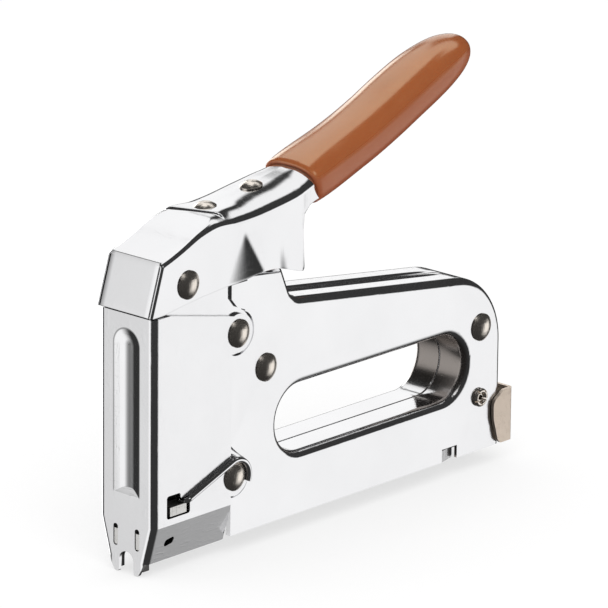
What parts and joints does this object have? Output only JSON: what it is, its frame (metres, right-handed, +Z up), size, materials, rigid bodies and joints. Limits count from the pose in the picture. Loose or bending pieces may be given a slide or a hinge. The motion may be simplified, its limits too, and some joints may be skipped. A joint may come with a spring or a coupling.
{
  "type": "hand staple gun",
  "caption": "Squeeze-handle staple gun with pressed chrome housing, hand hole, sleeved lever handle, notched nose for cable staples and a rear-loading magazine.",
  "frame": {"origin": "middle of the nose front face at the level of the two prong tips, where the staple leaves", "axes": "+X from the nose to the rear, +Y across the body, +Z up the nose"},
  "size_m": [0.1859, 0.03, 0.1582],
  "materials": {
    "chrome_side": "polished",
    "chrome_cover": "polished",
    "chrome_handle": "polished",
    "grip_vinyl": "semi-gloss vinyl",
    "plain_steel": "zinc plated",
    "rivet_nickel": "polished nickel",
    "dark_steel": "hardened, oiled",
    "spring_steel": "drawn wire",
    "bumper_rubber": "matte",
    "satin_nickel": "satin nickel",
    "spring_chrome": "polished wire"
  },
  "bodies": {
    "frame": {"housing_left": "chrome_side", "housing_right": "chrome_side", "front_cover": "chrome_cover", "body_rivets": "rivet_nickel", "clinch_rivet": "rivet_nickel", "spacer_tubes": "plain_steel", "lever_bushings": "plain_steel", "pivot_bushing": "plain_steel", "handle_pivot": "rivet_nickel", "spring_seat": "plain_steel", "bumper": "bumper_rubber", "magazine_channel": "plain_steel", "core_rail": "plain_steel", "magazine_lid": "plain_steel", "main_spring": "spring_steel", "handle_return_spring": "spring_steel", "wire_spring_left": "spring_chrome", "wire_spring_right": "spring_chrome"},
    "handle": {"handle_shell": "chrome_handle", "handle_grip": "grip_vinyl", "handle_channel": "plain_steel", "handle_rivets": "rivet_nickel", "cam_pin": "plain_steel"},
    "lever": {"lift_lever": "dark_steel"},
    "striker": {"plunger": "dark_steel", "driver_blade": "plain_steel", "blade_rivets": "plain_steel"},
    "guide": {"nose_guide": "satin_nickel"},
    "rear_pull": {"rear_cap": "satin_nickel", "pusher_rod": "plain_steel", "pusher_spring": "spring_steel"},
    "pusher": {"staple_pusher": "plain_steel"}
  },
  "joints": [
    {"name": "handle_hinge", "type": "hinge", "parent": "frame", "child": "handle", "pos_m": [0.0166, 0, 0.101], "axis": [0, 1, 0], "range_deg": [0, 20], "stiffness_Nm_per_rad": 1.2, "springref_deg": -20.05, "deforming": ["handle_return_spring"]},
    {"name": "lever_hinge", "type": "hinge", "parent": "frame", "child": "lever", "pos_m": [0.0415, 0, 0.0785], "axis": [0, 1, 0], "range_deg": [0, 18.2]},
    {"name": "striker_slide", "type": "slide", "parent": "frame", "child": "striker", "axis": [0, 0, 1], "range_m": [0, 0.0113], "stiffness_N_per_m": 600, "springref_m": -0.012, "deforming": ["main_spring"]},
    {"name": "guide_float", "type": "slide", "parent": "frame", "child": "guide", "axis": [0, 0, 1], "range_m": [0, 0.0014], "stiffness_N_per_m": 600, "springref_m": -0.005, "deforming": ["wire_spring_left", "wire_spring_right"]},
    {"name": "rear_pull_slide", "type": "slide", "parent": "frame", "child": "rear_pull", "axis": [1, 0, 0], "range_m": [0, 0.17]},
    {"name": "pusher_slide", "type": "slide", "parent": "rear_pull", "child": "pusher", "axis": [1, 0, 0], "range_m": [0, 0.14], "stiffness_N_per_m": 10, "springref_m": -0.2, "deforming": ["pusher_spring"]}
  ],
  "couplings": [
    {"joint": "lever_hinge", "follows": "handle_hinge", "ratio": 0.9},
    {"joint": "striker_slide", "follows": "handle_hinge", "m_per_rad": 0.0318}
  ]
}
